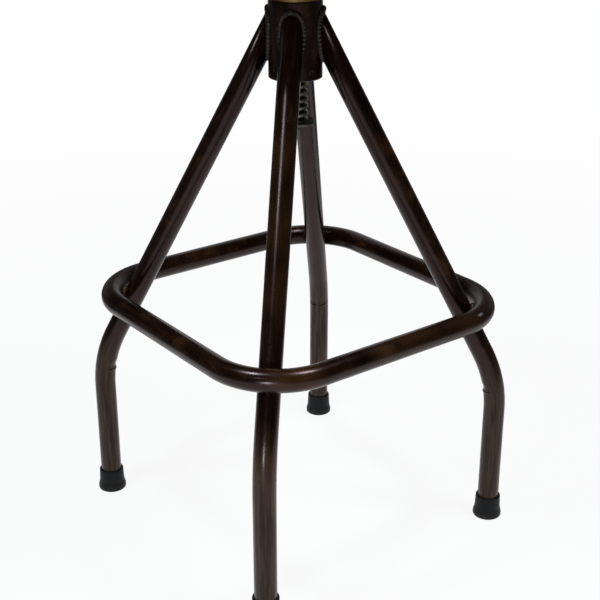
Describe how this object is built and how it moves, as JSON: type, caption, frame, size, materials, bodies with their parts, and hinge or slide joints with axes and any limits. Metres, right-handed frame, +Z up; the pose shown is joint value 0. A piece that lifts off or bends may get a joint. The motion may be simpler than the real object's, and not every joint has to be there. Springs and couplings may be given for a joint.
{
  "type": "bar stool",
  "caption": "Screw-lift bar stool with splayed tube legs bent upright at the feet, a rounded square foot ring, rubber tips and a round dished wooden seat.",
  "frame": {"origin": "on the floor, under the stool's axis", "axes": "+Z up along the screw spindle; X and Y along the sides of the square foot ring, with -Y to the front"},
  "size_m": [0.3854, 0.3854, 0.7456],
  "materials": {
    "bronze_lacquer": "dark bronze lacquer, satin gloss, rubbed through to brown in patches",
    "nut_brass": "turned, dulled",
    "dark_steel": "oiled, dark",
    "tip_rubber": "moulded, matt",
    "seat_wood": "stained, satin varnish"
  },
  "bodies": {
    "base": {"leg_rear_right": "bronze_lacquer", "leg_rear_left": "bronze_lacquer", "leg_front_left": "bronze_lacquer", "leg_front_right": "bronze_lacquer", "foot_ring": "bronze_lacquer", "ring_welds": "bronze_lacquer", "hub": "bronze_lacquer", "hub_welds": "bronze_lacquer", "lift_nut": "nut_brass", "nut_set_screws": "dark_steel", "foot_tip_rear_right": "tip_rubber", "foot_tip_rear_left": "tip_rubber", "foot_tip_front_left": "tip_rubber", "foot_tip_front_right": "tip_rubber", "tip_discs": "dark_steel"},
    "lift_stop": {"stop_washer": "dark_steel"},
    "seat_and_spindle": {"spindle": "dark_steel", "stop_bolt": "dark_steel", "seat_plate": "bronze_lacquer", "plate_weld": "bronze_lacquer", "seat_screws": "dark_steel", "seat": "seat_wood"}
  },
  "joints": [
    {"name": "seat_lift", "type": "slide", "parent": "base", "child": "lift_stop", "axis": [0, 0, 1], "range_m": [-0.064, 0.048]},
    {"name": "seat_turn", "type": "hinge", "parent": "lift_stop", "child": "seat_and_spindle", "pos_m": [0, 0, 0.6], "axis": [0, 0, 1], "range_deg": [-2880, 2160]}
  ],
  "couplings": [
    {"joint": "seat_lift", "follows": "seat_turn", "m_per_rad": 0.0012732}
  ]
}
